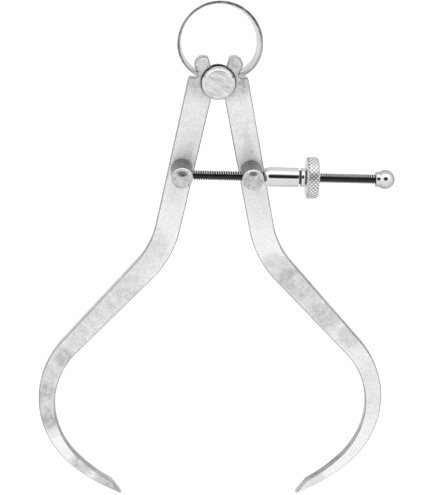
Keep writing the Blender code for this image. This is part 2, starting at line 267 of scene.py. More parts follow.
# A soft round mark, 1 in its middle and 0 from its radius outwards
def addMark(nodes, links, coords, centre, radius):
    vector = addMapping(nodes, links, coords, (radius, radius, radius), centre=centre, kind="TEXTURE")
    ball = nodes.new("ShaderNodeTexGradient")
    ball.gradient_type = "SPHERICAL"
    links.new(vector, ball.inputs["Vector"])
    return ball.outputs["Fac"]


# How the noise textures are read: nearly all of their values lie between low and high
noiseSizes = {
    "low": 0.3, "high": 0.7, "roughness": 0.6, "cloudDetail": 5.0, "speckDetail": 3.0,
    "markNoiseLow": 0.35, "markNoiseHigh": 0.65, "markNoiseRoughness": 0.7, "markNoiseDetail": 4.0,
    "thinnestMarkShare": 0.4,                  # what is left of a mark where its noise is lowest
    "markEdge": 0.6,                      # a mark is at its darkest from here to its middle
}


# Steel whose grey and gloss vary in clouds, with finer specks, darker marks and a fine grain, and at will a
# painted shadow ring and painted shade towards the outline
def makeSteel(name, look):
    noise = noiseSizes
    low, high, roughness = noise["low"], noise["high"], noise["roughness"]
    material, nodes, links = newMaterial(name)
    shader = nodes["Principled BSDF"]
    shader.inputs["Metallic"].default_value = look.get("metal", 1.0)
    coords = nodes.new("ShaderNodeTexCoord")
    plain = addMapping(nodes, links, coords)
    stretch, turn = look.get("stretch", (1, 1, 1)), look.get("turn", (0, 0, 0))
    grained = addMapping(nodes, links, coords, stretch, turn, kind="TEXTURE")
    clouds = addNoise(nodes, links, plain, look["cloudScale"], noise["cloudDetail"], roughness)
    specks = addNoise(nodes, links, grained, look["speckScale"], noise["speckDetail"], roughness)
    cloudy = addRange(nodes, links, clouds, low, high, look["dark"], look["light"])
    speckled = addRange(nodes, links, specks, low, high, 1.0 - look["speckle"], 1.0 + look["speckle"])
    grey = addMath(nodes, links, "MULTIPLY", cloudy, speckled)
    if "marks" in look:
        markNoise = addNoise(nodes, links, plain, look["markNoiseScale"], noise["markNoiseDetail"], noise["markNoiseRoughness"])
        patchy = addRange(nodes, links, markNoise, noise["markNoiseLow"], noise["markNoiseHigh"], noise["thinnestMarkShare"], 1.0)
        # each mark darkens the grey round its centre, thinned where the mark noise is low; on the leg sides,
        # in the notch and on the spring's edge the marks are painted shade
        for centreX, centreY, radius, depth in look["marks"]:
            centre = (centreX * mm, centreY * mm, legFront)
            mark = addMark(nodes, links, coords, centre, radius * mm)
            mark = addRange(nodes, links, mark, 0.0, noise["markEdge"], 0.0, depth, smooth=True)
            mark = addMath(nodes, links, "MULTIPLY", mark, patchy)
            kept = addMath(nodes, links, "SUBTRACT", 1.0, mark)
            grey = addMath(nodes, links, "MULTIPLY", grey, kept)
    # painted shadow: the leg face is darker next to the roller, fading out between the inner and outer radius
    if "ring" in look:
        inner, outer, depth = look["ring"]
        flat = addMapping(nodes, links, coords, (1, 1, 0))
        reach = nodes.new("ShaderNodeVectorMath")
        reach.operation = "LENGTH"
        links.new(flat, reach.inputs[0])
        away = reach.outputs["Value"]
        kept = addRange(nodes, links, away, inner, outer, 1.0 - depth, 1.0, smooth=True)
        grey = addMath(nodes, links, "MULTIPLY", grey, kept)
    # painted shade: darker where the surface turns away from the view, towards the outline
    if "rim" in look:
        start, depth = look["rim"]
        facing = nodes.new("ShaderNodeLayerWeight")
        kept = addRange(nodes, links, facing.outputs["Facing"], start, 1.0, 1.0, 1.0 - depth)
        grey = addMath(nodes, links, "MULTIPLY", grey, kept)
    tint = nodes.new("ShaderNodeCombineColor")
    for channel in ("Red", "Green", "Blue"):
        links.new(grey, tint.inputs[channel])
    links.new(tint.outputs["Color"], shader.inputs["Base Color"])
    gloss = addRange(nodes, links, clouds, low, high, *look["rough"])
    links.new(gloss, shader.inputs["Roughness"])
    bump = nodes.new("ShaderNodeBump")
    bump.inputs["Strength"].default_value = look["bump"]
    bump.inputs["Distance"].default_value = look["bumpHeight"]
    grain = addNoise(nodes, links, grained, look["grainScale"], noise["speckDetail"], roughness)
    links.new(grain, bump.inputs["Height"])
    links.new(bump.outputs["Normal"], shader.inputs["Normal"])
    return material


# Dark and light are the greys under an even light, and scales are per metre. Marks are (x, y, radius)
# in mm and depth, soft darker patches; ring is a painted shadow line round the roller's foot, as its inner
# and outer radius and depth; rim is where painted shade towards the outline starts, and its depth; stretch
# and turn lay the grain.
legFaceLook = {
    "metal": 0.35, "dark": 0.88, "light": 1.0, "cloudScale": 95, "speckScale": 2100, "speckle": 0.15,
    "rough": (0.4, 0.55), "bump": 0.25, "bumpHeight": 0.05 * mm, "grainScale": 1800,
    "markNoiseScale": 420,
    "marks": [
        (-6.0, 3.0, 11.0, 0.38), (5.6, 3.0, 11.0, 0.52), (-49.9, -97.0, 5.0, 0.32),
        (-57.1, -109.0, 4.5, 0.28), (-56.0, -120.5, 5.0, 0.32), (-44.5, -137.6, 6.0, 0.38),
        (-34.0, -146.0, 9.0, 0.55), (21.0, -65.0, 9.0, 0.32), (29.0, -69.0, 9.0, 0.34),
        (37.3, -81.0, 8.0, 0.28), (47.0, -88.5, 6.0, 0.26), (55.9, -108.7, 14.0, 0.16),
        (36.0, -144.5, 7.0, 0.2), (-22.0, -58.0, 11.0, 0.2), (-31.0, -73.0, 14.0, 0.3),
        (-43.0, -88.0, 15.0, 0.3), (-57.0, -110.0, 20.0, 0.34), (-8.0, -14.0, 12.0, 0.12),
        # the last mark here, at (-7.6, 4.6), is a painted shadow in the notch under the spring's end
        (8.0, -14.0, 12.0, 0.12), (40.0, -82.0, 26.0, 0.14), (-7.6, 4.6, 0.9, 0.95),
    ],
    # ring: painted shadow line round the roller's foot
    "ring": (5.5 * mm, 6.0 * mm, 0.93),
}
# darker copy of the leg steel for the rounded edges: painted shade that draws dark outlines
legEdgeShadeLook = {
    "dark": 0.22, "light": 0.42, "cloudScale": 400, "speckScale": 2500, "speckle": 0.1,
    "rough": (0.3, 0.4), "bump": 0.2, "bumpHeight": 0.03 * mm, "grainScale": 2500,
}
# darker copy of the leg steel for the upright sides, with marks that darken them further and make the notch
# gaps near black: painted shade
legSideShadeLook = {
    "dark": 0.66, "light": 0.86, "cloudScale": 300, "speckScale": 2200, "speckle": 0.12,
    "rough": (0.3, 0.45), "bump": 0.3, "bumpHeight": 0.05 * mm, "grainScale": 1500, "markNoiseScale": 60,
    "marks": [
        (8.2, 4.6, 4.0, 0.97), (-7.4, 4.0, 3.0, 0.95), (24.0, -58.0, 34.0, 0.7), (50.0, -86.0, 18.0, 0.7),
        (-50.0, -130.0, 24.0, 0.5), (-36.0, -143.0, 14.0, 0.5), (44.0, -134.0, 24.0, 0.6),
    ],
}
springLook = {
    "dark": 0.86, "light": 0.98, "cloudScale": 160, "speckScale": 1800, "speckle": 0.04,
    "rough": (0.2, 0.3), "bump": 0.2, "bumpHeight": 0.03 * mm, "grainScale": 2500,
}
# darker copy of the spring steel for the strip's edges, with marks that darken its top: painted shade
springEdgeShadeLook = {
    "dark": 0.52, "light": 0.78, "cloudScale": 130, "speckScale": 1800, "speckle": 0.1,
    "rough": (0.3, 0.4), "bump": 0.2, "bumpHeight": 0.03 * mm, "grainScale": 2500, "markNoiseScale": 300,
    "marks": [(1.0, 25.0, 17.0, 0.92), (-14.0, 12.0, 12.0, 0.6), (12.0, 19.0, 7.0, 0.6)],
}
turnedLook = {
    "dark": 0.42, "light": 0.7, "cloudScale": 420, "speckScale": 1300, "speckle": 0.25,
    "rough": (0.3, 0.42), "bump": 0.3, "bumpHeight": 0.05 * mm, "grainScale": 1800,
}
# dark steel for the posts' flanks and dimples: painted shade
flankShadeLook = {
    "dark": 0.14, "light": 0.3, "cloudScale": 420, "speckScale": 1600, "speckle": 0.15,
    "rough": (0.25, 0.4), "bump": 0.3, "bumpHeight": 0.04 * mm, "grainScale": 1600,
}
# dark steel for the knurl's grooves: painted shade
knurlGrooveShadeLook = {
    "dark": 0.14, "light": 0.26, "cloudScale": 900, "speckScale": 2500, "speckle": 0.2,
    "rough": (0.35, 0.5), "bump": 0.2, "bumpHeight": 0.03 * mm, "grainScale": 2500,
}
# near-black steel for grooves, necks and the roller's foot: painted shade in recesses
grooveShadeLook = {
    "dark": 0.04, "light": 0.12, "cloudScale": 900, "speckScale": 2500, "speckle": 0.2,
    "rough": (0.35, 0.5), "bump": 0.2, "bumpHeight": 0.03 * mm, "grainScale": 2500,
}
rollerLook = {
    "dark": 0.58, "light": 0.78, "cloudScale": 300, "speckScale": 900, "speckle": 0.3,
    "rough": (0.2, 0.32), "bump": 0.35, "bumpHeight": 0.05 * mm, "grainScale": 1300,
    "stretch": (4, 0.7, 1), "turn": (0, 0, radians(-28)),
}
polishedLook = {
    "dark": 0.7, "light": 0.76, "cloudScale": 200, "speckScale": 2000, "speckle": 0.02,
    # rim: painted shade towards the outline
    "rough": (0.06, 0.12), "bump": 0.05, "bumpHeight": 0.02 * mm, "grainScale": 2000, "rim": (0.55, 0.5),
}
ballLook = {
    "dark": 0.62, "light": 0.76, "cloudScale": 300, "speckScale": 1500, "speckle": 0.06,
    # rim: strong painted shade towards the ball's outline
    "rough": (0.08, 0.16), "bump": 0.1, "bumpHeight": 0.02 * mm, "grainScale": 2000, "rim": (0.15, 0.75),
}
knurlLook = {
    "dark": 0.9, "light": 1.0, "cloudScale": 300, "speckScale": 2500, "speckle": 0.04,
    "rough": (0.36, 0.46), "bump": 0.1, "bumpHeight": 0.02 * mm, "grainScale": 2500,
}
blackLook = {
    "metal": 0.0, "dark": 0.004, "light": 0.012, "cloudScale": 500, "speckScale": 2500, "speckle": 0.3,
    "rough": (0.2, 0.3), "bump": 0.3, "bumpHeight": 0.03 * mm, "grainScale": 2500,
}
# near-white steel for the thread's grooves on one side: painted highlight
threadGrooveGlintLook = {
    "metal": 0.2, "dark": 0.8, "light": 1.0, "cloudScale": 900, "speckScale": 2500, "speckle": 0.3,
    "rough": (0.15, 0.3), "bump": 0.2, "bumpHeight": 0.03 * mm, "grainScale": 2500,
}

legFaceSteel = makeSteel("legFaceSteel", legFaceLook)
legEdgeShadeSteel = makeSteel("legEdgeShadeSteel", legEdgeShadeLook)
legSideShadeSteel = makeSteel("legSideShadeSteel", legSideShadeLook)
springSteel = makeSteel("springSteel", springLook)
springEdgeShadeSteel = makeSteel("springEdgeShadeSteel", springEdgeShadeLook)
turnedSteel = makeSteel("turnedSteel", turnedLook)
flankShadeSteel = makeSteel("flankShadeSteel", flankShadeLook)
grooveShadeSteel = makeSteel("grooveShadeSteel", grooveShadeLook)
knurlGrooveShadeSteel = makeSteel("knurlGrooveShadeSteel", knurlGrooveShadeLook)
rollerSteel = makeSteel("rollerSteel", rollerLook)
polishedSteel = makeSteel("polishedSteel", polishedLook)
ballSteel = makeSteel("ballSteel", ballLook)
knurledSteel = makeSteel("knurledSteel", knurlLook)
blackSteel = makeSteel("blackSteel", blackLook)
threadGrooveGlintSteel = makeSteel("threadGrooveGlintSteel", threadGrooveGlintLook)
print("materials made")


legSizes = {
    "edgeRounding": 0.13 * mm, "smoothAngle": 35,
    "flatAngle": radians(0.5),            # faces that meet at less than this become one
    "faceSlope": 0.9, "sideSlope": 0.25,  # the slopes beyond which a face is level, or upright
}


# A merged copy of the imported leg with softer edges; its faces are sorted into face, edge and side, and the
# edges and sides get darker steel as painted shade
def makeLeg(side):
    node = side + "_leg"
    piece = bpy.data.objects.new(side + "LegPlate", frame["nodes"][node].data.copy())
    bpy.context.scene.collection.objects.link(piece)
    makeActive(piece)
    bpy.ops.mesh.customdata_custom_splitnormals_clear()
    editMode()
    bpy.ops.mesh.select_mode(type="VERT")
    bpy.ops.mesh.select_all(action="SELECT")
    bpy.ops.mesh.remove_doubles(threshold=mergeDistance)
    bpy.ops.mesh.dissolve_limited(angle_limit=legSizes["flatAngle"])
    objectMode()
    roundEdges(piece, legSizes["edgeRounding"])
    materials = (legFaceSteel, legEdgeShadeSteel, legSideShadeSteel)
    finishPiece(piece, node, materials, node, legSizes["smoothAngle"])
    for face in piece.data.polygons:
        slope = abs(face.normal.z)
        level = slope > legSizes["faceSlope"]
        upright = slope < legSizes["sideSlope"]
        face.material_index = 0 if level else 2 if upright else 1


for legSide in ("left", "right"):
    makeLeg(legSide)
print("legs made")


rollerSizes = {
    "barrelRadius": 3.5 * mm, "backRadius": 5.0 * mm, "backThickness": 1.2 * mm,
    "frontRadius": 5.4 * mm, "frontRim": 1.4 * mm, "chamferWidth": 0.8 * mm, "rounding": 0.12 * mm,
    "paintedShadowHeight": 0.16 * mm, "levelSlope": 0.98,
}


# A barrel between two flanges; the front one has a chamfered face and a painted shadow line at its foot
def makeRoller():
    sizes = rollerSizes
    rimBack = legFront + runningGap
    rimFront = rimBack + sizes["frontRim"]
    profile = [
        (rollerLow.z, 0),
        (rollerLow.z, sizes["backRadius"]),
        (sizes["backThickness"], sizes["backRadius"]),
        (sizes["backThickness"], sizes["barrelRadius"]),
        (rimBack, sizes["barrelRadius"]),
        (rimBack, sizes["frontRadius"]),
        (rimBack + sizes["paintedShadowHeight"], sizes["frontRadius"]),
        (rimFront, sizes["frontRadius"]),
        (rollerHigh.z, sizes["frontRadius"] - sizes["chamferWidth"]),
        (rollerHigh.z, 0),
    ]
    piece = turnProfile("fulcrumRoller", profile, steps=120)
    roundEdges(piece, sizes["rounding"])
    materials = (rollerSteel, polishedSteel, grooveShadeSteel)
    finishPiece(piece, "fulcrum", materials, "fulcrum_roller")
    # the band at the front flange's foot gets the near-black steel: a painted shadow line
    faceFrom = rollerHigh.z - 0.5 * sizes["rounding"]
    for face in piece.data.polygons:
        onFace = face.center.z > faceFrom and face.normal.z > sizes["levelSlope"]
        inPaintedShadow = face.center.z < rimBack + sizes["paintedShadowHeight"]
        face.material_index = 0 if onFace else 2 if inPaintedShadow else 1


makeRoller()
print("roller made")


# The strip is bent round the bow, then curled in towards the notch in the leg's head. The notch's
# place is its own leg's, before the leg is turned by its angle.
springSizes = {
    "width": 9.0 * mm, "thickness": 0.85 * mm, "chamfer": 0.15 * mm, "rounding": 0.06 * mm,
    "radius": 12.88 * mm, "rise": 9.75 * mm, "halfAngle": radians(94), "flare": radians(4.3),
    "lean": radians(9.5), "turn": radians(-1.2), "bowSteps": 60, "curlSteps": 16,
    "notch": (7.9 * mm, 0.9 * mm), "legAngle": radians(11.46), "forkReach": 1.125 * mm,
    "forkDepth": 0.55 * mm, "slotPlay": 0.4 * mm, "edgeSlope": 0.5,
}


# The notch's place, and the matrix that leans the spring back through both notches and turns it
def springMatrix():
    notch = Matrix.Rotation(springSizes["legAngle"], 3, "Z") @ Vector((*springSizes["notch"], 0))
    pivot = Matrix.Translation((0, notch.y, legMiddle))
    turned = Matrix.Rotation(springSizes["turn"], 4, "Z")
    return notch, turned @ pivot @ Matrix.Rotation(-springSizes["lean"], 4, "X")


# One half of the spring, drawn to the right and mirrored for the left leg
def makeSpringHalf(side):
    sizes = springSizes
    sign = 1 if side == "right" else -1
    notch, placing = springMatrix()
    wide, thick, cut = sizes["width"] / 2, sizes["thickness"] / 2, sizes["chamfer"]
    section = [
        (thick, wide - cut), (thick - cut, wide), (cut - thick, wide), (-thick, wide - cut),
        (-thick, cut - wide), (cut - thick, -wide), (thick - cut, -wide), (thick, cut - wide),
    ]
    top = sizes["rise"] + sizes["radius"]
    outline = [(0, top + out + along * tan(sizes["flare"]), along) for out, along in section]
    piece = drawLine(side + "SpringHalf", outline, closed=True)
    bowCentre = Vector((0, sizes["rise"], 0))
    bowAngle = sizes["halfAngle"]
    bpy.ops.mesh.spin(steps=sizes["bowSteps"], angle=bowAngle, center=bowCentre, axis=(0, 0, 1))
    outward = Vector((sin(bowAngle), cos(bowAngle), 0))
    bowEnd = bowCentre + outward * sizes["radius"]
    endPoint = Vector((notch.x - sizes["forkReach"], 0, 0))
    toEnd = endPoint - bowEnd
    curlAngle = 2 * (atan2(-toEnd.y, toEnd.x) - bowAngle)
    curlRadius = toEnd.length / (2 * sin(curlAngle / 2))
    curlCentre = bowEnd - outward * curlRadius
    bpy.ops.mesh.spin(steps=sizes["curlSteps"], angle=curlAngle, center=curlCentre, axis=(0, 0, 1))
    closeMesh(piece)
    endAngle = bowAngle + curlAngle
    bpy.ops.mesh.primitive_cube_add(size=1, location=endPoint, rotation=(0, 0, -endAngle))
    slot = bpy.context.object
    slotWidth = legFront - legBack + 2 * sizes["slotPlay"]
    slotHeight = 3 * sizes["thickness"]   # well through the strip
    slot.scale = (2 * sizes["forkDepth"], slotHeight, slotWidth)
    applyPlace(slot)
    combine(piece, slot)
    roundEdges(piece, sizes["rounding"])
    piece.scale.x = sign
    applyPlace(piece)
    piece.matrix_world = placing
    applyPlace(piece)
    editMode()
    closeMesh(piece)
    piece.data.materials.clear()
    piece.data.materials.append(springSteel)
    piece.data.materials.append(springEdgeShadeSteel)
    shadeSmooth(piece)
    # the strip's edges get the darker steel, as painted shade
    stripAxis = placing.to_3x3() @ Vector((0, 0, 1))
    for face in piece.data.polygons:
        face.material_index = 1 if abs(face.normal.dot(stripAxis)) > sizes["edgeSlope"] else 0
    endPoint.x *= sign
    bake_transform(piece)
    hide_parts("bow_spring")


for legSide in ("left", "right"):
    makeSpringHalf(legSide)
print("spring made")


postSizes = {
    "radius": 3.5 * mm, "topRounding": 0.15 * mm, "footRounding": 0.15 * mm,
    "grooveHeight": 4.4 * mm, "grooveDepth": 0.1 * mm, "grooveWidth": 0.3 * mm,
    "stemRadius": 2.0 * mm, "headRadius": 2.7 * mm, "headThickness": 0.8 * mm,
    "holeRadius": 1.7 * mm, "blindDepth": 2.2 * mm, "rounding": 0.1 * mm,
    "washerRadius": 3.4 * mm, "washerThickness": 0.6 * mm,
    "foot": [(0.0, 0.55), (0.1 * mm, 0.8), (0.35 * mm, 1.0)],   # height, and share of the head's radius
    "leftDimple": (0.05, 1.5, 1.5, 0.95),   # x, y, half width and half height from the centre, in mm
    "rightDimple": (0.0, 2.05, 1.35, 0.75),
    "dimpleDepth": 0.4 * mm,
    # How the faces near the top are told apart: the last three are shares of the dimple and the rounding
    "topSlack": 0.02 * mm, "dimpleReach": 1.5, "discInset": 1.2, "rimReach": 1.4,
}


# A round post with a riveted stem through the leg, a hole for the screw and a punched dimple on top.
# Its faces are sorted into top, rim, flank with dimple, and groove; flank, dimple and groove are darkened as
# painted shade.
def makePost(side):
    sizes = postSizes
    low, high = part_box(side + "_post")
    place = Vector(((low.x + high.x) / 2, (low.y + high.y) / 2, 0))
    base = legFront + runningGap
    radius, stem, head = sizes["radius"], sizes["stemRadius"], sizes["headRadius"]
    headTop = low.z + sizes["headThickness"]
    groove = legFront + sizes["grooveHeight"]
    foot = [(low.z + height, share * head) for height, share in sizes["foot"]]
    profile = [
        (low.z, 0),
        *foot,
        (headTop, head),
        (headTop, stem),
        (base, stem),
        (base, radius - sizes["footRounding"]),
        (base + sizes["footRounding"], radius),
        (groove - sizes["grooveWidth"] / 2, radius),
        (groove, radius - sizes["grooveDepth"]),
        (groove + sizes["grooveWidth"] / 2, radius),
        (high.z - sizes["topRounding"], radius),
        (high.z, radius - sizes["topRounding"]),
        (high.z, 0),
    ]
    piece = turnProfile(side + "SwivelPost", profile, place)
    reach = 2 * radius
    along = 0 if side == "left" else (rightPostPlace - leftPostPlace).length
    centre = screwStart + screwDirection * along
    blindEnd = sizes["blindDepth"] if side == "left" else reach
    hole = addRod(centre - screwDirection * blindEnd, centre + screwDirection * reach, sizes["holeRadius"])
    combine(piece, hole)
    x, y, halfWidth, halfHeight = (value * mm for value in sizes[side + "Dimple"])
    depth = sizes["dimpleDepth"]
    ballRadius = (halfWidth**2 + depth**2) / (2 * depth)
    ballPlace = place + Vector((x, y, high.z + ballRadius - depth))
    deselectAll()
    bpy.ops.mesh.primitive_uv_sphere_add(
        segments=64, ring_count=48, radius=ballRadius, location=ballPlace
    )
    punch = bpy.context.object
    punch.scale.y = halfHeight / halfWidth
    applyPlace(punch)
    combine(piece, punch)
    materials = (turnedSteel, polishedSteel, flankShadeSteel, grooveShadeSteel)
    finishPiece(piece, side + "_post", materials, side + "_post")
    rounding = sizes["topRounding"]
    for face in piece.data.polygons:
        below = high.z - face.center.z
        out = hypot(face.center.x - place.x, face.center.y - place.y)
        onTop = below < sizes["topSlack"]
        onDimple = below < sizes["dimpleReach"] * depth and out < radius - sizes["discInset"] * rounding
        onRim = below < sizes["rimReach"] * rounding
        # the groove gets the near-black steel: painted shade
        inGroove = abs(face.center.z - groove) < 0.5 * sizes["grooveWidth"]
        face.material_index = 0 if onTop else 2 if onDimple else 1 if onRim else 3 if inGroove else 2
    washerTop = legBack - runningGap
    washerBack = washerTop - sizes["washerThickness"]
    inner = stem + runningGap
    outline = [
        (washerBack, inner), (washerBack, sizes["washerRadius"]),
        (washerTop, sizes["washerRadius"]), (washerTop, inner),
    ]
    washer = turnProfile(side + "Washer", outline, place, closed=True)
    roundEdges(washer, sizes["rounding"])
    finishPiece(washer, side + "_post", (turnedSteel,), side + "_post_washer")


for postSide in ("left", "right"):
    makePost(postSide)
print("posts made")


# Crest, root and overhang are shares of the pitch, and crestFrom is a share of the rod's radius
screwSizes = {
    "pitch": 0.75 * mm, "depth": 0.42 * mm, "crest": 0.62, "root": 0.1, "steps": 24,
    "spareTurns": 3, "overhang": 1.5, "mergeDistance": 0.005 * mm, "smoothAngle": 25,
    "crestFrom": 0.93, "brightStart": radians(44), "brightEnd": radians(130),
}


# One turn of the thread's outline, wound by a Screw modifier and cut square at both ends. Its grooves
# are painted near white on the side away from the tips, as a painted highlight.
def makeScrew():
    sizes = screwSizes
    low, high, outer = spanOnScrew("adjusting_screw")
    pitch = sizes["pitch"]
    inner = outer - sizes["depth"]
    turns = int((high - low) / pitch) + sizes["spareTurns"]
    crest = sizes["crest"] / 2
    root = sizes["root"] / 2
    outline = [
        (0, inner), (root, inner), (0.5 - crest, outer),
        (0.5 + crest, outer), (1 - root, inner), (1, inner),
    ]
    piece = drawLine("screwThread", [(pitch * share, 0, radius) for share, radius in outline])
    objectMode()
    bpy.context.scene.cursor.location = (0, 0, 0)
    bpy.ops.object.origin_set(type="ORIGIN_CURSOR")
    wind = piece.modifiers.new("Wind", "SCREW")
    wind.axis = "X"
    wind.angle = 2 * pi
    wind.screw_offset = pitch
    wind.iterations = turns
    wind.steps = wind.render_steps = sizes["steps"]
    wind.use_merge_vertices = True
    wind.merge_threshold = sizes["mergeDistance"]
    bpy.ops.object.modifier_apply(modifier=wind.name)
    piece.location.x = low - sizes["overhang"] * pitch
    applyPlace(piece)
    for cutX, keepNormal in ((low, 1), (high, -1)):
        editMode()
        bpy.ops.mesh.select_all(action="SELECT")
        bpy.ops.mesh.bisect(
            plane_co=(cutX, 0, 0), plane_no=(keepNormal, 0, 0), use_fill=True, clear_inner=True
        )
        objectMode()
    editMode()
    closeMesh(piece)
    materials = (blackSteel, threadGrooveGlintSteel)
    finishPiece(piece, "left_post", materials, "adjusting_screw", sizes["smoothAngle"])
    # grooves on the bright side get the near-white steel: painted highlight
    for face in piece.data.polygons:
        inGroove = hypot(face.center.y, face.center.z) < sizes["crestFrom"] * outer
        bright = sizes["brightStart"] < atan2(face.center.y, face.center.z) < sizes["brightEnd"]
        face.material_index = 1 if inGroove and bright else 0
    placeOnScrew(piece)


ballSizes = {
    "collarRadius": 2.45 * mm, "collarLip": 0.25 * mm, "countersink": 1.2,
    "holeRadius": 1.7 * mm, "holeEnd": 0.5 * mm, "steps": 40,
}


# A ball with a short collar, and a blind hole for the screw's end
def makeBall():
    low, high, radius = spanOnScrew("ball_end")
    sizes = ballSizes
    hole, collar, lip = sizes["holeRadius"], sizes["collarRadius"], sizes["collarLip"]
    centre = high - radius
    holeEnd = centre - sizes["holeEnd"]
    start = asin(collar / radius)
    angles = [pi - start - (pi - start) * i / sizes["steps"] for i in range(sizes["steps"] + 1)]
    profile = [(low + sizes["countersink"] * lip, hole), (low, hole + lip)]
    profile += [(low, collar - lip), (low + lip, collar)]
    profile += [(centre + radius * cos(angle), radius * sin(angle)) for angle in angles]
    profile += [(holeEnd, 0), (holeEnd, hole), profile[0]]
    piece = turnProfile("ballEnd", profile, axis="X", steps=96)
    finishPiece(piece, "left_post", (ballSteel,), "ball_end")
    placeOnScrew(piece)


makeScrew()
makeBall()
print("screw and ball made")


nutSizes = {
    "holeRadius": 1.7 * mm, "noseRadius": 2.45 * mm, "noseLength": 1.9 * mm, "rounding": 0.12 * mm,
    "noseCurve": [(0.25, 0.42), (0.5, 0.74), (0.75, 0.93)],   # share of its length, and of its swell
    "hubRadius": 3.05 * mm, "hubLength": 2.2 * mm, "neckRadius": 2.2 * mm, "neckLength": 0.55 * mm,
    "backNeckLength": 0.5 * mm,
    "chamfer": 0.6 * mm, "dishRadius": 4.5 * mm, "dishDepth": 0.35 * mm,
    "knurlsAround": 32, "knurlRows": 4, "knurlPitch": 1.28 * mm, "knurlHeight": 0.35 * mm,
    "knurlInset": 0.08 * mm, "grooveEdge": 0.3 * mm, "grooveReach": 0.08 * mm,
    "coreRadius": 1.0 * mm, "sleeveAngle": 35, "wheelAngle": 20,
    # How the knurled rim's faces and edges are told from those of its ends
    "rimShare": 0.9, "endSlope": 0.5, "endSlack": 0.01 * mm,
}


# A long polished sleeve, whose rounded nose bears on the right post
def makeSleeve():
    low, high, radius = spanOnScrew("nut_sleeve")
    sizes = nutSizes
    nose, hole = sizes["noseRadius"], sizes["holeRadius"]
    length, swell, rounding = sizes["noseLength"], radius - nose, sizes["rounding"]
    curve = [(low + share * length, nose + rise * swell) for share, rise in sizes["noseCurve"]]
    profile = [
        (low, hole),
        (low, nose - rounding),
        (low + rounding, nose),
        *curve,
        (low + length, radius),
        (high - rounding, radius),
        (high, radius - rounding),
        (high, hole),
    ]
    piece = turnProfile("nutSleeve", profile, axis="X", steps=120, closed=True)
    finishPiece(piece, "nut", (polishedSteel,), "nut_sleeve", sizes["sleeveAngle"])
    placeOnScrew(piece)


# A ring of raised diamonds: a grid is poked, its first edges dissolved, and each diamond inset
def makeKnurledRing(low, high, topRadius):
    sizes = nutSizes
    rows, pitch = sizes["knurlRows"], sizes["knurlPitch"]
    base = topRadius - sizes["knurlHeight"]
    start = (low + high - rows * pitch) / 2
    heights = [start + pitch * row for row in range(rows + 1)]
    core, rim = sizes["coreRadius"], sizes["rimShare"] * base
    outline = [(heights[0], core)] + [(height, base) for height in heights] + [(heights[-1], core)]
    ring = turnProfile("knurledWheel", outline, axis="X", steps=sizes["knurlsAround"], closed=True)
    gridCount = len(ring.data.vertices)

    def isRimFace(face):
        return abs(face.normal.x) < sizes["endSlope"] and face.center.yz.length > rim

    selectWhere(ring, "FACE", isRimFace)
    bpy.ops.mesh.poke()
    selectWhere(ring, "VERT", lambda vertex: vertex.index >= gridCount)
    lift = 1 / cos(pi / sizes["knurlsAround"])
    bpy.ops.transform.resize(value=(1, lift, lift), center_override=(0, 0, 0))
    objectMode()
    places = [vertex.co.copy() for vertex in ring.data.vertices]

    def isGridEdge(edge):
        first, second = (places[index] for index in edge.vertices)
        if max(edge.vertices) >= gridCount or min(first.yz.length, second.yz.length) < rim:
            return False
        ends = (heights[0], heights[-1])
        return not any(abs(first.x - end) + abs(second.x - end) < sizes["endSlack"] for end in ends)

    selectWhere(ring, "EDGE", isGridEdge)
    bpy.ops.mesh.dissolve_edges(use_verts=False)
    selectWhere(ring, "FACE", isRimFace)
    bpy.ops.mesh.inset(thickness=sizes["knurlInset"], depth=sizes["knurlHeight"], use_individual=True)
    objectMode()
    return ring


# The knurled ring is cut to a chamfered, dished wheel, with a necked collar between it and the sleeve; the
# knurl's grooves and the collar's necks are darkened as painted shade
def makeWheel():
    low, high, reach = spanOnScrew("nut_wheel")
    sizes = nutSizes
    face = low + sizes["hubLength"]
    hole, hub, neck = sizes["holeRadius"], sizes["hubRadius"], sizes["neckRadius"]
    wheel = makeKnurledRing(face, high, reach)
    shoulder = reach - sizes["chamfer"]
    dishFloor = high - sizes["dishDepth"]
    outline = [
        (face, hole),
        (face, shoulder),
        (face + sizes["chamfer"], reach),
        (high - sizes["chamfer"], reach),
        (high, shoulder),
        (high, sizes["dishRadius"]),
        (dishFloor, sizes["dishRadius"] - sizes["dishDepth"]),
        (dishFloor, hole),
    ]
    blank = turnProfile("wheelBlank", outline, axis="X", steps=144, closed=True)
    combine(wheel, blank, "INTERSECT")
    materials = (knurledSteel, knurlGrooveShadeSteel)
    finishPiece(wheel, "nut", materials, "nut_wheel", sizes["wheelAngle"])
    for part in wheel.data.polygons:
        inside = face + sizes["grooveEdge"] < part.center.x < high - sizes["grooveEdge"]
        sunk = sizes["dishRadius"] < part.center.yz.length < reach - sizes["grooveReach"]
        part.material_index = 1 if inside and sunk else 0
    placeOnScrew(wheel)
    backNeck = face - sizes["backNeckLength"]
    collar = [
        (low, hole),
        (low, neck),
        (low + sizes["neckLength"], neck),
        (low + sizes["neckLength"], hub),
        (backNeck, hub),
        (backNeck, neck),
        (face, neck),
        (face, hole),
    ]
    piece = turnProfile("nutCollar", collar, axis="X", steps=120, closed=True)
    roundEdges(piece, sizes["rounding"])
    finishPiece(piece, "nut", (polishedSteel, grooveShadeSteel), "nut_wheel")
    # the collar's necks get the near-black steel as painted shade
    for part in piece.data.polygons:
        part.material_index = 1 if part.center.yz.length < hub - sizes["rounding"] else 0
    placeOnScrew(piece)


makeSleeve()
makeWheel()
print("nut made")


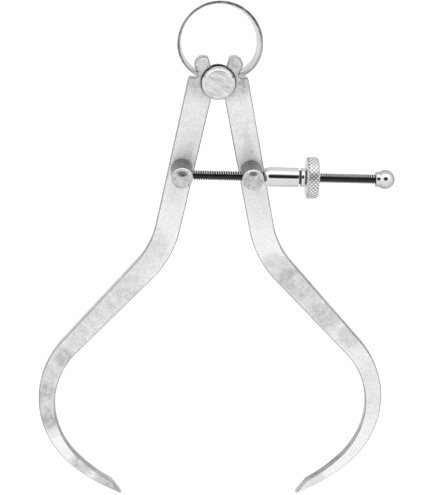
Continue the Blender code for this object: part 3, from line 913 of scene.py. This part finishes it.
studio = {
    "eye": (-24.3127, 134.5233, 504.4),   # camera's place, in mm
    "target": (1.0214, -56.4495, 4.4),    # the point in the middle of the picture
    "roll": 0.0247,                       # in radians
    "focalPixels": 1614.5193,             # focal length and picture height, in the photo's pixels
    "pictureHeight": 495,
    "sensorHeight": 24,
    "frontSky": 0.96,                     # the tent's brightness on the side of the tips
    "backSky": 1.24,                      # and on the side of the bow spring
    "skySpread": 0.6,                     # how far to either side one turns into the other, as a sine
    "gapStrength": 0.02,                  # the brightness in the tent's opening
    "gapAngle": radians(27),              # the opening's place, from the zenith towards +Y
    "gapSize": (0.42, 0.42, 1000),        # its half width and half height as sines, and its depth
    "gapEdge": (0.8, 1.25),               # its soft edge, as shares of its size
    "floorSize": 4.0,
    "floorGap": 0.05 * mm,
    "floorGrey": 0.9,
    "floorRoughness": 0.9,
    "glowStrength": 1.15,
    "floorGlow": 0.85,                    # the glow's share where the camera sees the floor
    "floorGlossGlow": 0.3,                # and where the steel mirrors it
    "lampAngle": radians(62),             # from the zenith towards +Y
    "lampTarget": (0, -60 * mm, 0),
    "lampSize": (2.0, 0.7),
    "lampRadiance": 0.5,
}


# The camera stands where the photo was taken from, as fitted to the outlines in it
def makeCamera():
    eye = Vector(studio["eye"]) * mm
    look = (Vector(studio["target"]) * mm - eye).normalized()
    right = look.cross(Vector((0, 1, 0))).normalized()
    up = right.cross(look)
    turn = studio["roll"]
    turnedRight = right * cos(turn) + up * sin(turn)
    turnedUp = up * cos(turn) - right * sin(turn)
    data = bpy.data.cameras.new("photoCamera")
    data.sensor_fit = "VERTICAL"
    data.sensor_height = studio["sensorHeight"]
    data.lens = studio["focalPixels"] * data.sensor_height / studio["pictureHeight"]
    data.clip_start = 0.01
    data.clip_end = 10
    camera = bpy.data.objects.new("photoCamera", data)
    bpy.context.scene.collection.objects.link(camera)
    axes = Matrix((turnedRight, turnedUp, -look)).transposed()
    camera.matrix_world = Matrix.Translation(eye) @ axes.to_4x4()
    bpy.context.scene.camera = camera


# A pale tent, greyer in front, with a dark opening overhead; the camera sees plain white
def makeWorld():
    world = bpy.data.worlds.new("studioWorld")
    bpy.context.scene.world = world
    world.use_nodes = True
    nodes, links = world.node_tree.nodes, world.node_tree.links
    nodes.clear()
    output = nodes.new("ShaderNodeOutputWorld")
    coords = nodes.new("ShaderNodeTexCoord")
    opening = nodes.new("ShaderNodeMapping")
    opening.vector_type = "TEXTURE"
    opening.inputs["Rotation"].default_value = (-studio["gapAngle"], 0, 0)
    opening.inputs["Scale"].default_value = studio["gapSize"]
    links.new(coords.outputs["Generated"], opening.inputs["Vector"])
    reach = nodes.new("ShaderNodeVectorMath")
    reach.operation = "LENGTH"
    links.new(opening.outputs["Vector"], reach.inputs[0])
    away = reach.outputs["Value"]
    tent = addRange(nodes, links, away, *studio["gapEdge"], studio["gapStrength"], 1.0, smooth=True)
    parts = nodes.new("ShaderNodeSeparateXYZ")
    links.new(coords.outputs["Generated"], parts.inputs["Vector"])
    spread, front, back = studio["skySpread"], studio["frontSky"], studio["backSky"]
    depth = addRange(nodes, links, parts.outputs["Y"], -spread, spread, front, back, smooth=True)
    sky = nodes.new("ShaderNodeBackground")
    links.new(addMath(nodes, links, "MULTIPLY", tent, depth), sky.inputs["Strength"])
    backdrop = nodes.new("ShaderNodeBackground")
    path = nodes.new("ShaderNodeLightPath")
    mix = nodes.new("ShaderNodeMixShader")
    backdrop.inputs["Color"].default_value = (1, 1, 1, 1)
    sky.inputs["Color"].default_value = (1, 1, 1, 1)
    links.new(path.outputs["Is Camera Ray"], mix.inputs["Fac"])
    links.new(sky.outputs["Background"], mix.inputs[1])
    links.new(backdrop.outputs["Background"], mix.inputs[2])
    links.new(mix.outputs["Shader"], output.inputs["Surface"])


# The floor touches the spring's far edge and the backs of the tips, where the caliper would rest
def makeFloor():
    farY, farZ = springHigh.y, springLow.z
    nearY, nearZ = legLow.y, legBack
    deselectAll()
    bpy.ops.mesh.primitive_plane_add(size=studio["floorSize"], location=(0, 0, 0))
    floor = bpy.context.object
    floor.name = "studioFloor"
    floor.rotation_euler.x = atan2(farZ - nearZ, farY - nearY)
    floor.location = Vector((0, (farY + nearY) / 2, (farZ + nearZ) / 2 - studio["floorGap"]))
    material, nodes, links = newMaterial("floorWhite")
    shader = nodes["Principled BSDF"]
    grey = studio["floorGrey"]
    shader.inputs["Base Color"].default_value = (grey, grey, grey, 1)
    shader.inputs["Roughness"].default_value = studio["floorRoughness"]
    shader.inputs["Specular IOR Level"].default_value = 0.0
    glow = nodes.new("ShaderNodeEmission")
    glow.inputs["Strength"].default_value = studio["glowStrength"]
    path = nodes.new("ShaderNodeLightPath")
    seen = addMath(nodes, links, "MULTIPLY", path.outputs["Is Camera Ray"], studio["floorGlow"])
    mirrored = addMath(nodes, links, "MULTIPLY", path.outputs["Is Glossy Ray"], studio["floorGlossGlow"])
    share = addMath(nodes, links, "MAXIMUM", seen, mirrored)
    mix = nodes.new("ShaderNodeMixShader")
    links.new(share, mix.inputs["Fac"])
    links.new(shader.outputs["BSDF"], mix.inputs[1])
    links.new(glow.outputs["Emission"], mix.inputs[2])
    links.new(mix.outputs["Shader"], nodes["Material Output"].inputs["Surface"])
    floor.data.materials.append(material)


# A soft lamp a metre away, on the side of the bow spring
def makeLamp():
    target = Vector(studio["lampTarget"])
    width, height = studio["lampSize"]
    angle = studio["lampAngle"]
    data = bpy.data.lights.new("backSoftbox", "AREA")
    data.shape = "RECTANGLE"
    data.size, data.size_y = width, height
    data.energy = studio["lampRadiance"] * pi * width * height
    lamp = bpy.data.objects.new("backSoftbox", data)
    bpy.context.scene.collection.objects.link(lamp)
    lamp.location = target + Vector((0, sin(angle), cos(angle)))
    lamp.rotation_euler = (target - lamp.location).to_track_quat("-Z", "Y").to_euler()
    lamp.visible_camera = False


makeCamera()
makeWorld()
makeFloor()
makeLamp()
bpy.context.scene.view_settings.view_transform = "Standard"
print("studio made")
